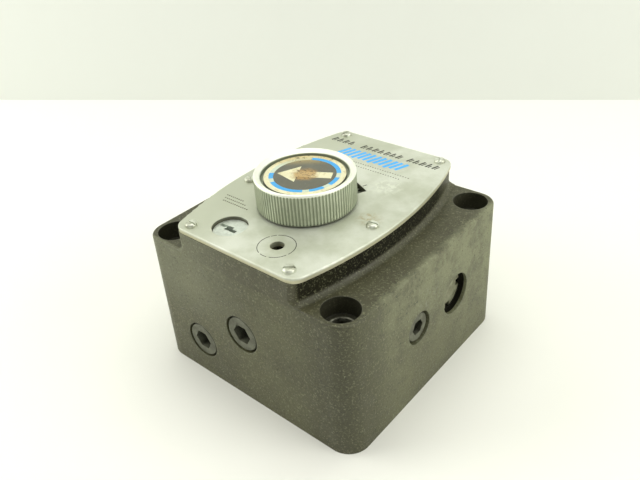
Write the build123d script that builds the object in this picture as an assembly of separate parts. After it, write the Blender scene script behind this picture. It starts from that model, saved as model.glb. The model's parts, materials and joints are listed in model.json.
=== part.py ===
from build123d import *
import os
from math import atan2, cos, degrees, hypot, radians, sin, sqrt, tan

# Pressure-compensated flow control valve for a four-bolt manifold face.
# Millimetres. The origin is the centre of the mounting face, which lies at z = 0.
# +Z points up to the dial, -Y to the side with the two large plugs, +X to the compensator plug.

# Fits, as radial or face clearances
static_fit = 0.03        # parts that are pressed or screwed together
running_fit = 0.05       # parts that slide or turn in each other
face_gap = 0.05          # faces of moving parts that run past each other
loose_gap = 0.5          # room that no part has to fill
seal_rounding = 0.4      # edge radius of a seal, as a share of its thinner side

# Casting
body_width = 125.8
body_depth = 125.0
body_corner_radius = 11.0
body_draft = 0.92                # degrees, on every outer wall
ledge_height = 71.9
ledge_edge_radius = 1.0
pedestal_height = 10.9           # above the ledge
pedestal_corner_radius = 4.5
foot_radius = 3.0                # where the pedestal meets the ledge
bolt_edge_x = 12.1               # bolt centre to the side of the mounting face
bolt_edge_y = 11.7
bolt_hole_radius = 5.4
counterbore_radius = 8.35
counterbore_depth = 9.0

# Cover plate
plate_thickness = 2.4
plate_half_width = 45.1
plate_side_radius = 187.0        # long shallow arcs of the two sides
plate_side_y = -2.0              # where the plate is widest
plate_overhang = 1.0             # beyond the pedestal, at the sides
plate_end_overhang = -0.3
plate_corner_radius = 6.5
plate_edge_radius = 0.7
cover_screw_head_radius = 2.85
cover_screw_head_height = 1.7
cover_screw_radius = 1.5
cover_screw_length = 9.0
cover_screw_slot = 0.75
cover_screw_rounding = 0.75      # head edge radius, as a share of the head's height
cover_screw_turn = 37.0          # degrees from one screw's slot to the next
cover_screw_clearance = 0.2
end_screw_x = 29.65
end_screw_edge = 4.8             # end screws to the plate's ends
side_screw_edge = 7.4            # side screws to the plate's sides
window_radius = 28.3             # from the dial axis to the window's outer edge
window_height = 6.5
window_width = 10.3
window_angle = 64.0
access_hole_x = 13.6
access_hole_edge = 15.0          # to the plate's front end
access_hole_radius = 3.15
access_hole_depth = 12.0

# Dial and its shaft
dial_edge = 51.4                 # dial axis to the front of the mounting face
knob_radius = 23.4
knob_gap = 0.4                   # above the plate
knob_height = 15.9
knob_round = 0.9
knob_flutes = 96
knob_foot_chamfer = 0.6
knob_rim_radius = 22.4           # crest of the rim, which slopes in to the dial
knob_rim_drop = 1.5
flute_radius = 0.42
flute_land = 0.2                 # plain band between the flutes and the rounded edges
knob_wall = 3.0
knob_web = 4.7
knob_hub_radius = 8.6
knob_hub_clearance = 0.4         # to the hole in the plate
dial_recess_radius = 20.3
dial_recess_depth = 3.3
dial_face_radius = 19.0
dial_face_thickness = 1.2
dial_face_edge = 0.3
knob_screw_radius = 2.0
knob_screw_head_radius = 3.5
knob_screw_head_height = 1.9
knob_screw_seat_depth = 2.8
knob_screw_length = 10.5
knob_screw_socket = 2.5          # across flats
knob_screw_web = 0.7             # under the socket
knob_screw_clearance = 0.1
washer_radius = 4.4
washer_thickness = 0.5
washer_clearance = 0.2
spigot_radius = 5.0              # shaft inside the knob and the scale ring
spigot_flat = 4.2                # shaft centre to its flat
shaft_end_gap = 0.2              # below the knob's web
journal_radius = 6.0
collar_radius = 9.0
collar_thickness = 3.0
thrust_washer_thickness = 1.0
thrust_washer_bore_gap = 0.15
thrust_washer_rim = 0.3          # beyond the collar
stem_radius = 4.0

# Scale ring and its chamber under the plate
chamber_radius = 30.6
chamber_depth = 6.0
ring_radius = 29.4
ring_thickness = 2.0
ring_hub_height = 2.8
ring_gap = 0.5                   # below the plate
ring_notches = 60
notch_depth = 2.3
notch_width = 1.7
stop_pin_radius = 2.4
stop_circle_radius = 22.0
stop_angle = 90.0                # place of the fixed stop about the dial axis
stop_margin = 2.5                # degrees left between the pins at each end of travel
fixed_pin_depth = 6.0
moving_pin_recess = 0.3          # below the ring's top
fixed_pin_gap = 0.4              # below the ring

# Shaft gland
gland_radius = 13.5
gland_flange_radius = 15.5
gland_flange_thickness = 2.2
gland_skirt_depth = 5.0
gland_skirt_clearance = 0.6
gland_key_hole_radius = 1.2
gland_key_hole_edge = 2.0
gland_seal_rise = 2.0            # groove of the gland's seal above the collar
shaft_seal_rise = 6.0
seal_section = 2.0
seal_length = 2.6

# Throttle
sleeve_radius = 13.0
sleeve_low = 20.0
sleeve_high = 56.0
sleeve_floor = 2.5
sleeve_outlet_radius = 5.0
sleeve_annulus_radius = 11.4
sleeve_annulus_low = 33.5
sleeve_annulus_high = 44.2
sleeve_port_radius = 2.8
sleeve_port_height = 37.0
sleeve_ports = 4
sleeve_groove_depth = 1.5
sleeve_groove_width = 2.2
sleeve_groove_below = 6.0        # first groove, below the annulus
sleeve_groove_above = 5.5        # second groove, above it
throttle_radius = 9.0
throttle_low = 30.0
throttle_length = 24.0
throttle_skirt_radius = 6.9
throttle_web = 7.0
notch_low = 41.0                 # metering notches, at rest
notch_high = 46.0
metering_notch_width = 5.0
vent_radius = 0.9
vent_circle_radius = 5.6
guide_pin_radius = 1.2
guide_pin_height = 45.9
guide_pin_angle = 45.0
guide_pin_end_gap = 0.1
guide_slot_depth = 1.3
guide_slot_low = 43.0
stem_end = 40.0
throttle_spring_radius = 5.9
throttle_wire_radius = 0.6
throttle_spring_turns = 7

# Galleries and ports
gallery_height = 40.0            # from the compensator to the throttle
link_radius = 5.5
port_radius = 8.0
port_seal_width = 3.2
port_seal_depth = 2.2
port_seal_section = 2.0
inlet_edge = 35.9                # inlet port to the left side of the mounting face
inlet_port_depth = 12.0
inlet_gallery_radius = 7.0       # from the inlet port up to the compensator
outlet_gallery_height = 14.0
outlet_gallery_radius = 4.5
outlet_gallery_offset = 4.9      # in front of the dial axis
sensing_radius = 2.2
spring_line_radius = 1.25

# Compensator
compensator_offset = 31.4        # behind the dial axis
compensator_height = 39.4
compensator_radius = 8.0
compensator_waist = 4.2
compensator_hollow_radius = 4.5
compensator_hollow_depth = 25.0
land_margin = 1.4
spring_room = 10.0
spring_seat_radius = 5.2
spring_seat_depth = 4.5
compensator_spring_radius = 4.2
compensator_wire_radius = 0.65
compensator_spring_turns = 5
spring_line_offset = 1.0         # from the middle of the spring's room
sensing_line_reach = 7.0         # beyond the sleeve, where the two sensing lines meet
recess_radius = 10.56            # mouth of the compensator bore
recess_depth = 4.3
recess_lip = 1.7
recess_groove_radius = 11.5
end_plug_thickness = 10.2
end_plug_nose_radius = 7.0
end_plug_nose = 5.4
spanner_notch_width = 3.6
spanner_notch_depth = 3.4
spanner_notches = 4
end_plug_edge = 0.5
end_plug_slot = 2.4
end_seal_section = 1.8
end_seal_margin = 1.4            # from the plug's inner face to its groove

# Reverse-flow check valve
check_edge = 32.6                # check bore to the left side of the mounting face
check_height = 21.0
check_bore_radius = 7.5
check_seat_hole = 4.5
check_seat_start = 5.1           # behind the dial axis
check_seat_length = 6.0
check_seat_edge = 0.5
check_guide_radius = 6.6
check_guide_length = 34.0
poppet_nose_radius = 3.9
poppet_cone_length = 3.0
poppet_length = 14.0
poppet_wall = 1.6
poppet_nose_length = 1.5
poppet_hole_radius = 1.5
poppet_hole_rise = 3.0           # behind the cone
check_spring_radius = 4.1
check_wire_radius = 0.5
check_spring_turns = 9

# Screw plugs: large ones on the galleries, small ones on the control lines
large_plug = dict(spotface=9.8, head=8.9, head_thickness=3.6, thread=7.9, socket=9.2,
                  socket_depth=6.0, recess=0.3)
small_plug = dict(spotface=8.27, head=7.2, head_thickness=3.2, thread=5.9, socket=7.0,
                  socket_depth=4.6, recess=0.9)
gallery_plug_length = 13.0
control_plug_length = 10.0
spring_plug_length = 9.0
plug_seal_width = 1.5
plug_seal_depth = 1.8
socket_web = 2.0                 # least metal behind a hexagon socket
plug_edge = 0.4

# Key lock
lock_x = -14.6                   # from the dial axis
lock_y = -35.4
lock_hole_radius = 8.25
lock_face_radius = 8.1
lock_face_recess = 1.6           # below the top of the plate
lock_pocket_depth = 3.0
lock_shank_radius = 4.2
lock_shank_length = 19.0
lock_housing_radius = 7.0
lock_housing_length = 17.5
lock_clip_thickness = 0.8
lock_clip_radius = 6.2
lock_clip_groove = 1.0
cam_radius = 6.0
cam_offset = 1.7
cam_height = 2.1
cam_play = 0.1
lock_bolt_radius = 9.6
lock_bolt_thickness = 1.9
lock_bolt_front = 7.4
lock_tooth_reach = 9.7
lock_tooth_width = 1.3
lock_pocket_gap = 0.3
lock_face_edge = 0.3
lock_window_gap = 0.3
cam_angle = 135.0                # from the reach direction to the cam's high side
clip_opening = 1.6               # as a share of the groove's radius
key_slot_length = 7.6
key_slot_width = 1.9
key_slot_depth = 15.0
key_slot_step = 1.5
key_slot_angle = 4.0
key_mouth_length = 9.8           # shallow lead-in, longer than the slot below it
key_mouth_offset = -1.7
key_mouth_depth = 1.2

# Levels and places that follow
slope = tan(radians(body_draft))
pedestal_top = ledge_height + pedestal_height
plate_top = pedestal_top + plate_thickness
chamber_floor = pedestal_top - chamber_depth
knob_low = plate_top + knob_gap
knob_top = knob_low + knob_height
dial_y = dial_edge - body_depth / 2
dial = (0.0, dial_y)
lock = (lock_x, dial_y + lock_y)
bolt_x = body_width / 2 - bolt_edge_x
bolt_y = body_depth / 2 - bolt_edge_y
plate_half_length = body_depth / 2 - slope * pedestal_top + plate_end_overhang
inlet = (inlet_edge - body_width / 2, dial_y + compensator_offset)
check = (check_edge - body_width / 2, check_height)
compensator = (dial_y + compensator_offset, compensator_height)
outlet_gallery = (dial_y - outlet_gallery_offset, outlet_gallery_height)
ring_high = pedestal_top - ring_gap
ring_low = ring_high - ring_thickness
hub_low = ring_high - ring_hub_height
recess_floor = knob_top - dial_recess_depth
hub_high = recess_floor - knob_web
screw_seat = recess_floor - knob_screw_seat_depth
gland_low = sleeve_high + gland_skirt_depth
washer_low = gland_low - thrust_washer_thickness


def side(height):
    # Half width of the drafted casting at a height
    return body_width / 2 - slope * height


def front(height):
    # Half depth of the drafted casting at a height
    return body_depth / 2 - slope * height


def facing(axis, at, low):
    # Plane across one axis, centred on the two other coordinates
    if axis == "x":
        return Plane(origin=(low, at[0], at[1]), x_dir=(0, 1, 0), z_dir=(1, 0, 0))
    if axis == "y":
        return Plane(origin=(at[0], low, at[1]), x_dir=(1, 0, 0), z_dir=(0, 1, 0))
    return Plane(origin=(at[0], at[1], low))


def rod(axis, at, radius, low, high):
    return extrude(facing(axis, at, low) * Circle(radius), amount=high - low)


def tube(axis, at, outer, inner, low, high):
    return rod(axis, at, outer, low, high) - rod(axis, at, inner, low, high)


def hexagon(axis, at, across_flats, low, high):
    outline = RegularPolygon(across_flats / 2, 6, major_radius=False)
    return extrude(facing(axis, at, low) * outline, amount=high - low)


def block(x, y, z):
    # Box from three (low, high) pairs
    middle = [(low + high) / 2 for low, high in (x, y, z)]
    size = [high - low for low, high in (x, y, z)]
    return Pos(*middle) * Box(*size)


def drilling(start, end, radius):
    # Straight hole between two points
    path = Vector(*end) - Vector(*start)
    return extrude(Plane(origin=start, z_dir=path) * Circle(radius), amount=path.length)


def seal(axis, at, inner, outer, low, high):
    # Rubber ring squeezed into its groove, with rounded edges
    ring = tube(axis, at, outer - static_fit, inner + static_fit, low, high)
    return fillet(ring.edges().filter_by(GeomType.CIRCLE), seal_rounding * min(outer - inner, high - low))


def coil(axis, at, radius, wire_radius, low, high, turns):
    # Compression spring between two seats
    height = high - low - 2 * (wire_radius + face_gap)
    path = Helix(pitch=height / turns, height=height, radius=radius)
    wire = sweep(Plane(origin=path @ 0, z_dir=path % 0) * Circle(wire_radius), path=path)
    return facing(axis, at, low + wire_radius + face_gap) * wire


def turned_by(angle, at):
    return Pos(at[0], at[1]) * Rot(0, 0, angle) * Pos(-at[0], -at[1])


def save(name, *solids):
    pieces = [solid for shape in solids for solid in shape.solids()]
    shape = pieces[0] if len(pieces) == 1 else Compound(children=pieces)
    export_step(shape, "parts/" + name + ".step")


def shield(inset, half_length, corner):
    # Plate outline: two long side arcs, two straight ends and rounded corners
    radius = plate_side_radius - inset
    offset = plate_side_radius - plate_half_width
    sides = Pos(offset, plate_side_y) * Circle(radius) & Pos(-offset, plate_side_y) * Circle(radius)
    outline = sides & Rectangle(2 * plate_half_width, 2 * half_length)
    return fillet(outline.vertices(), corner)


def plate_width_at(y):
    # Half width of the cover plate at a place along it
    drop = plate_side_radius - sqrt(plate_side_radius ** 2 - (y - plate_side_y) ** 2)
    return plate_half_width - drop


def cover_screw_places():
    end_y = plate_half_length - end_screw_edge
    side_x = plate_width_at(dial_y) - side_screw_edge
    places = [(x, y) for y in (-end_y, end_y) for x in (-end_screw_x, end_screw_x)]
    return places + [(-side_x, dial_y), (side_x, dial_y)]


def shaft_with_flat(radius, flat, low, high):
    # Round shaft on the dial axis with one flat towards the back
    cut = block((-radius, radius), (dial_y - radius, dial_y + flat), (low, high))
    return rod("z", dial, radius, low, high) & cut


def window_box():
    centre = window_radius - window_height / 2
    box = Box(window_height, window_width, 4 * plate_thickness)
    return Pos(0, dial_y, plate_top) * Rot(0, 0, window_angle) * Pos(centre, 0) * box


# Screw plugs. `face` is where the casting's surface lies, `inward` is +1 or -1 along the axis.
def between(face, inward, start, end):
    ends = (face + inward * start, face + inward * end)
    return min(ends), max(ends)


def plug_hole(axis, at, face, inward, kind, length):
    seat = kind["recess"] + kind["head_thickness"]
    mouth = rod(axis, at, kind["spotface"], *between(face, inward, -3, seat))
    seal_room = rod(axis, at, kind["thread"] + plug_seal_width,
                    *between(face, inward, seat, seat + plug_seal_depth))
    thread = rod(axis, at, kind["thread"] + static_fit, *between(face, inward, seat, length))
    return mouth + seal_room + thread


def screw_plug(axis, at, face, inward, kind, length):
    seat = kind["recess"] + kind["head_thickness"]
    head = rod(axis, at, kind["head"], *between(face, inward, kind["recess"], seat))
    head = chamfer(head.edges().filter_by(GeomType.CIRCLE), plug_edge)
    thread = rod(axis, at, kind["thread"], *between(face, inward, seat, length))
    depth = min(kind["socket_depth"], length - kind["recess"] - socket_web)
    socket = hexagon(axis, at, kind["socket"],
                     *between(face, inward, kind["recess"] - 1, kind["recess"] + depth))
    return head + thread - socket


def plug_seal(axis, at, face, inward, kind):
    seat = kind["recess"] + kind["head_thickness"]
    return seal(axis, at, kind["thread"], kind["thread"] + plug_seal_width,
                *between(face, inward, seat, seat + plug_seal_depth))


plugs = {
    "check_plug": ("y", check, -front(check_height), 1, large_plug, gallery_plug_length),
    "gallery_plug": ("y", (0.0, gallery_height), -front(gallery_height), 1, large_plug,
                     gallery_plug_length),
    "control_plug": ("x", (dial_y, gallery_height), side(gallery_height), -1, small_plug,
                     control_plug_length),
    "spring_plug": ("x", compensator, -side(compensator_height), 1, large_plug,
                    spring_plug_length),
    "outlet_plug": ("x", outlet_gallery, -side(outlet_gallery_height), 1, small_plug,
                    control_plug_length),
}

# Compensator places along X
end_plug_face = side(compensator_height) - recess_depth
end_plug_back = end_plug_face - end_plug_thickness
nose_end = end_plug_back - end_plug_nose
spring_plug_end = spring_plug_length - side(compensator_height)
left_land_end = spring_plug_end + spring_room
left_land_edge = inlet[0] - inlet_gallery_radius - land_margin
right_land_edge = link_radius + land_margin / 2
right_land_end = nose_end - 2 * face_gap

# Check valve places along Y
seat_low = dial_y + check_seat_start
seat_high = seat_low + check_seat_length

# Lock directions: `reach` points from the lock to the dial axis
reach = (-lock_x / hypot(lock_x, lock_y), -lock_y / hypot(lock_x, lock_y))
reach_angle = degrees(atan2(reach[1], reach[0]))
bolt_half_throw = cam_offset * sin(radians(cam_angle))
pocket_floor = pedestal_top - lock_pocket_depth
lock_face_top = plate_top - lock_face_recess
cam_low = pocket_floor + face_gap
cam_high = cam_low + cam_height
shank_low = pocket_floor - lock_shank_length
clip_low = pocket_floor - lock_housing_length - lock_clip_thickness - face_gap


def casting():
    footprint = RectangleRounded(body_width, body_depth, body_corner_radius)
    base = extrude(footprint, amount=ledge_height, taper=body_draft)
    base = fillet(base.faces().sort_by(Axis.Z)[-1].edges(), ledge_edge_radius)
    envelope = extrude(footprint, amount=pedestal_top, taper=body_draft)
    outline = shield(plate_overhang, front(ledge_height), pedestal_corner_radius)
    raised = Pos(0, 0, ledge_height - 3 * ledge_edge_radius) * extrude(
        outline, amount=pedestal_height + 3 * ledge_edge_radius)
    return base + ((raised + foot(outline)) & envelope)


def foot(outline):
    # Concave fillet carried round the pedestal's outline
    path = Pos(0, 0, ledge_height) * outline.faces()[0].outer_wire()
    plane = Plane(origin=path @ 0, x_dir=(path % 0).cross(Vector(0, 0, 1)), z_dir=path % 0)
    section = Rectangle(2 * foot_radius, 2 * foot_radius)
    for sign_x in (-1, 1):
        for sign_y in (-1, 1):
            section -= Pos(sign_x * foot_radius, sign_y * foot_radius) * Circle(foot_radius)
    return sweep(plane * section, path=path)


def bolt_holes():
    holes = []
    for x in (-bolt_x, bolt_x):
        for y in (-bolt_y, bolt_y):
            holes.append(rod("z", (x, y), bolt_hole_radius, -1, ledge_height + 1))
            holes.append(rod("z", (x, y), counterbore_radius, ledge_height - counterbore_depth,
                             ledge_height + 1))
    return holes


def throttle_bore():
    return [rod("z", dial, port_radius, -1, sleeve_low),
            rod("z", dial, sleeve_radius + static_fit, sleeve_low, sleeve_high),
            rod("z", dial, gland_radius + static_fit, sleeve_high, chamber_floor),
            rod("z", dial, chamber_radius, chamber_floor, pedestal_top + 1),
            rod("y", (0.0, gallery_height), link_radius, -front(gallery_height) + 1,
                compensator[0])]


def port_holes():
    holes = [rod("z", inlet, port_radius, -1, inlet_port_depth),
             rod("z", inlet, inlet_gallery_radius, 0, compensator_height)]
    for place in (inlet, dial):
        holes.append(rod("z", place, port_radius + port_seal_width, -1, port_seal_depth))
    return holes


def compensator_bore():
    face = side(compensator_height)
    return [rod("x", compensator, compensator_radius, spring_plug_end, nose_end),
            rod("x", compensator, recess_radius, nose_end, face + 3),
            rod("x", compensator, recess_groove_radius, end_plug_face, face - recess_lip)]


def check_bore():
    start = gallery_plug_length - front(check_height)
    return [rod("y", check, check_bore_radius, start, seat_high),
            rod("y", check, check_guide_radius, seat_high, seat_high + check_guide_length)]


def control_lines():
    # Outlet gallery, its line to the spring chamber, and the sensing line to the end chamber
    spring_chamber_x = spring_plug_end + spring_room / 2 - spring_line_offset
    end_chamber = (end_plug_back - end_plug_nose / 2, compensator[0] - compensator_radius + 1)
    return [rod("x", outlet_gallery, outlet_gallery_radius, 1 - side(outlet_gallery_height), 0),
            drilling((spring_chamber_x, *outlet_gallery),
                     (spring_chamber_x, *compensator), spring_line_radius),
            rod("x", (dial_y, gallery_height), sensing_radius, sleeve_annulus_radius,
                side(gallery_height) - 1),
            drilling((sleeve_radius + sensing_line_reach, dial_y, gallery_height),
                     (*end_chamber, compensator_height), spring_line_radius)]


def lock_holes():
    travel = Pos(bolt_half_throw * reach[0], bolt_half_throw * reach[1])
    back = Pos(-bolt_half_throw * reach[0], -bolt_half_throw * reach[1])
    pocket = rod("z", lock, lock_bolt_radius + lock_pocket_gap, pocket_floor, pedestal_top + 1)
    return [travel * pocket, pocket, back * pocket,
            rod("z", lock, lock_housing_radius + static_fit, shank_low - 1, pedestal_top)]


def small_holes():
    holes = [rod("z", place, cover_screw_radius + static_fit,
                 pedestal_top - cover_screw_length, pedestal_top + 1)
             for place in cover_screw_places()]
    access = (access_hole_x, access_hole_edge - plate_half_length)
    holes.append(rod("z", access, access_hole_radius, pedestal_top - access_hole_depth,
                     pedestal_top + 1))
    stop = stop_place(stop_angle)
    holes.append(rod("z", stop, stop_pin_radius + static_fit, chamber_floor - fixed_pin_depth,
                     chamber_floor + 1))
    return holes


def valve_body():
    cuts = bolt_holes() + throttle_bore() + port_holes() + compensator_bore() + check_bore()
    cuts += control_lines() + lock_holes() + small_holes()
    cuts += [plug_hole(*values) for values in plugs.values()]
    return casting() - cuts


def cover_plate():
    outline = shield(0, plate_half_length, plate_corner_radius)
    plate = Pos(0, 0, pedestal_top) * extrude(outline, amount=plate_thickness)
    plate = fillet(plate.faces().sort_by(Axis.Z)[-1].edges(), plate_edge_radius)
    access = (access_hole_x, access_hole_edge - plate_half_length)
    holes = [rod("z", dial, knob_hub_radius + knob_hub_clearance, pedestal_top - 1, plate_top + 1),
             rod("z", lock, lock_hole_radius, pedestal_top - 1, plate_top + 1),
             rod("z", access, access_hole_radius, pedestal_top - 1, plate_top + 1),
             window_box()]
    holes += [rod("z", place, cover_screw_radius + cover_screw_clearance, pedestal_top - 1, plate_top + 1)
              for place in cover_screw_places()]
    return plate - holes


def cover_screws():
    screws = []
    for index, place in enumerate(cover_screw_places()):
        head = rod("z", place, cover_screw_head_radius, plate_top,
                   plate_top + cover_screw_head_height)
        head = fillet(head.edges().sort_by(Axis.Z)[-1], cover_screw_rounding * cover_screw_head_height)
        slot = Box(3 * cover_screw_head_radius, cover_screw_slot, cover_screw_head_height)
        slot = Pos(*place, plate_top + cover_screw_head_height) * Rot(0, 0, cover_screw_turn * index) * slot
        shank = rod("z", place, cover_screw_radius,
                    pedestal_top - cover_screw_length + loose_gap, plate_top)
        screws.append(head - slot + shank)
    return screws


def dial_knob():
    # Fluted cup with a hub, a hollow underside and a recess for the printed dial
    knob = rod("z", dial, knob_radius, knob_low, knob_top)
    knob = fillet(knob.edges().sort_by(Axis.Z)[-1], knob_round)
    knob = chamfer(knob.edges().sort_by(Axis.Z)[0], knob_foot_chamfer)
    knob -= tube("z", dial, knob_radius - knob_wall, knob_hub_radius, knob_low - 1, hub_high)
    knob -= rod("z", dial, dial_recess_radius, recess_floor, knob_top + 1)
    rim_middle = knob_top - knob_rim_drop / 2
    knob -= Pos(0, dial_y, rim_middle) * Cone(dial_recess_radius, knob_rim_radius, knob_rim_drop)
    knob += rod("z", dial, knob_hub_radius, ring_high, knob_low + 1)
    knob -= shaft_with_flat(spigot_radius + static_fit, spigot_flat + static_fit, ring_high - 1,
                            hub_high)
    knob -= rod("z", dial, knob_screw_radius + knob_screw_clearance, hub_high - 1, screw_seat + 1)
    knob -= rod("z", dial, washer_radius + washer_clearance, screw_seat, recess_floor + 1)
    flutes = Sketch() + PolarLocations(knob_radius, knob_flutes) * Circle(flute_radius)
    flute_low = knob_low + knob_foot_chamfer + flute_land
    flute_height = knob_top - knob_round - flute_land - flute_low
    return knob - Pos(0, dial_y, flute_low) * extrude(flutes, amount=flute_height)


def dial_face():
    disc = rod("z", dial, dial_face_radius, recess_floor, recess_floor + dial_face_thickness)
    return fillet(disc.edges().sort_by(Axis.Z)[-1], dial_face_edge)


def knob_washer():
    return tube("z", dial, washer_radius, knob_screw_radius + knob_screw_clearance, screw_seat,
                screw_seat + washer_thickness)


def knob_screw():
    seat = screw_seat + washer_thickness
    head = rod("z", dial, knob_screw_head_radius, seat, seat + knob_screw_head_height)
    socket = hexagon("z", dial, knob_screw_socket, seat + knob_screw_web,
                     seat + knob_screw_head_height + 1)
    return head + rod("z", dial, knob_screw_radius, seat - knob_screw_length, seat) - socket


def dial_shaft():
    shaft_top = hub_high - shaft_end_gap
    shaft = rod("z", dial, stem_radius, stem_end, sleeve_high + 1)
    shaft += rod("z", dial, collar_radius, washer_low - face_gap - collar_thickness,
                 washer_low - face_gap)
    shaft += rod("z", dial, journal_radius, washer_low - 1, hub_low)
    shaft += shaft_with_flat(spigot_radius, spigot_flat, hub_low, shaft_top)
    tapped_end = screw_seat + washer_thickness - knob_screw_length - 1
    return shaft - rod("z", dial, knob_screw_radius + static_fit, tapped_end, shaft_top + 1)


def scale_ring():
    ring = rod("z", dial, ring_radius, ring_low, ring_high)
    ring += rod("z", dial, knob_hub_radius, hub_low, ring_high)
    notch = Rectangle(2 * notch_depth, notch_width)
    notches = PolarLocations(ring_radius, ring_notches, start_angle=reach_angle + 180) * notch
    toothed = Circle(ring_radius) - notches
    ring &= Pos(0, dial_y, hub_low) * extrude(toothed, amount=ring_hub_height)
    ring -= shaft_with_flat(spigot_radius + static_fit, spigot_flat + static_fit, hub_low - 1,
                            ring_high + 1)
    return ring - rod("z", moving_stop(), stop_pin_radius + static_fit, ring_low - 1,
                      ring_high + 1)


def stop_place(angle):
    return (stop_circle_radius * cos(radians(angle)),
            dial_y + stop_circle_radius * sin(radians(angle)))


def moving_stop():
    # The pins touch when their centres are two pin radii apart on the stop circle
    contact = 2 * degrees(stop_pin_radius / stop_circle_radius)
    return stop_place(stop_angle + contact + stop_margin)


def ring_stop_pin():
    return rod("z", moving_stop(), stop_pin_radius, chamber_floor + loose_gap,
               ring_high - moving_pin_recess)


def fixed_stop_pin():
    return rod("z", stop_place(stop_angle), stop_pin_radius, chamber_floor - fixed_pin_depth,
               ring_low - fixed_pin_gap)


def shaft_gland():
    gland = rod("z", dial, gland_radius, sleeve_high, chamber_floor)
    gland += rod("z", dial, gland_flange_radius, chamber_floor,
                 chamber_floor + gland_flange_thickness)
    gland -= rod("z", dial, journal_radius + running_fit, sleeve_high - 1, ring_low)
    gland -= rod("z", dial, collar_radius + gland_skirt_clearance, sleeve_high - 1, gland_low)
    gland -= rod("z", dial, journal_radius + seal_section, *shaft_seal_span())
    gland -= tube("z", dial, gland_radius + 1, gland_radius - seal_section, *gland_seal_span())
    for sign in (-1, 1):
        place = (sign * (gland_radius - gland_key_hole_edge), dial_y)
        gland -= rod("z", place, gland_key_hole_radius, chamber_floor - 1, ring_low)
    return gland


def gland_seal_span():
    low = gland_low + gland_seal_rise
    return low, low + seal_length


def shaft_seal_span():
    low = gland_low + shaft_seal_rise
    return low, low + seal_length


def thrust_washer():
    return tube("z", dial, collar_radius + thrust_washer_rim,
                journal_radius + thrust_washer_bore_gap, washer_low, gland_low)


def throttle_sleeve():
    sleeve = rod("z", dial, sleeve_radius, sleeve_low, sleeve_high)
    sleeve -= rod("z", dial, throttle_radius, sleeve_low + sleeve_floor, sleeve_high + 1)
    sleeve -= rod("z", dial, sleeve_outlet_radius, sleeve_low - 1, sleeve_high)
    sleeve -= tube("z", dial, sleeve_radius + 1, sleeve_annulus_radius, sleeve_annulus_low,
                   sleeve_annulus_high)
    for low, high in sleeve_seal_spans():
        sleeve -= tube("z", dial, sleeve_radius + 1, sleeve_radius - sleeve_groove_depth, low, high)
    for index in range(sleeve_ports):
        port = rod("x", (dial_y, sleeve_port_height), sleeve_port_radius, 0, sleeve_radius + 1)
        sleeve -= turned_by(360 / sleeve_ports * index, dial) * port
    return sleeve - guide_pin(static_fit)


def sleeve_seal_spans():
    spans = []
    for low in (sleeve_annulus_low - sleeve_groove_below,
                sleeve_annulus_high + sleeve_groove_above):
        spans.append((low, low + sleeve_groove_width))
    return spans


def sleeve_seals():
    return [seal("z", dial, sleeve_radius - sleeve_groove_depth, sleeve_radius + static_fit,
                 low, high)
            for low, high in sleeve_seal_spans()]


def guide_pin(clearance=0.0):
    inner = throttle_radius - guide_slot_depth + guide_pin_end_gap
    pin = rod("x", (dial_y, guide_pin_height), guide_pin_radius + clearance, inner,
              sleeve_radius - guide_pin_end_gap + clearance)
    return turned_by(guide_pin_angle, dial) * pin


def throttle_spool():
    high = throttle_low + throttle_length
    spool = rod("z", dial, throttle_radius - running_fit, throttle_low, high)
    spool -= rod("z", dial, throttle_skirt_radius, throttle_low - 1, high - throttle_web)
    spool -= rod("z", dial, stem_radius + running_fit, throttle_low, high + 1)
    slot = block((throttle_radius - guide_slot_depth, throttle_radius + 1),
                 (dial_y - guide_pin_radius - running_fit, dial_y + guide_pin_radius + running_fit),
                 (guide_slot_low, high + 1))
    spool -= turned_by(guide_pin_angle, dial) * slot
    notch = Polyline((-metering_notch_width / 2, notch_high), (metering_notch_width / 2, notch_high),
                     (0, notch_low), close=True)
    wedge = extrude(Plane.YZ * make_face(notch), amount=throttle_radius + 1)
    for index in range(sleeve_ports):
        angle = 360 / sleeve_ports * index
        spool -= turned_by(angle, dial) * Pos(0, dial_y) * wedge
    for sign in (-1, 1):
        spool -= rod("z", (sign * vent_circle_radius, dial_y), vent_radius, throttle_low, high + 1)
    return spool


def throttle_spring():
    return coil("z", dial, throttle_spring_radius, throttle_wire_radius, sleeve_low + sleeve_floor,
                throttle_low + throttle_length - throttle_web, throttle_spring_turns)


def compensator_spool():
    spool = rod("x", compensator, compensator_radius - running_fit, left_land_end, left_land_edge)
    spool += rod("x", compensator, compensator_waist, left_land_edge - 1, right_land_edge + 1)
    spool += rod("x", compensator, compensator_radius - running_fit, right_land_edge,
                 right_land_end)
    spool -= rod("x", compensator, spring_seat_radius, left_land_end - 1,
                 left_land_end + spring_seat_depth)
    return spool - rod("x", compensator, compensator_hollow_radius,
                       right_land_end - compensator_hollow_depth, right_land_end + 1)


def compensator_spring():
    return coil("x", compensator, compensator_spring_radius, compensator_wire_radius,
                spring_plug_end, left_land_end + spring_seat_depth, compensator_spring_turns)


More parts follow.
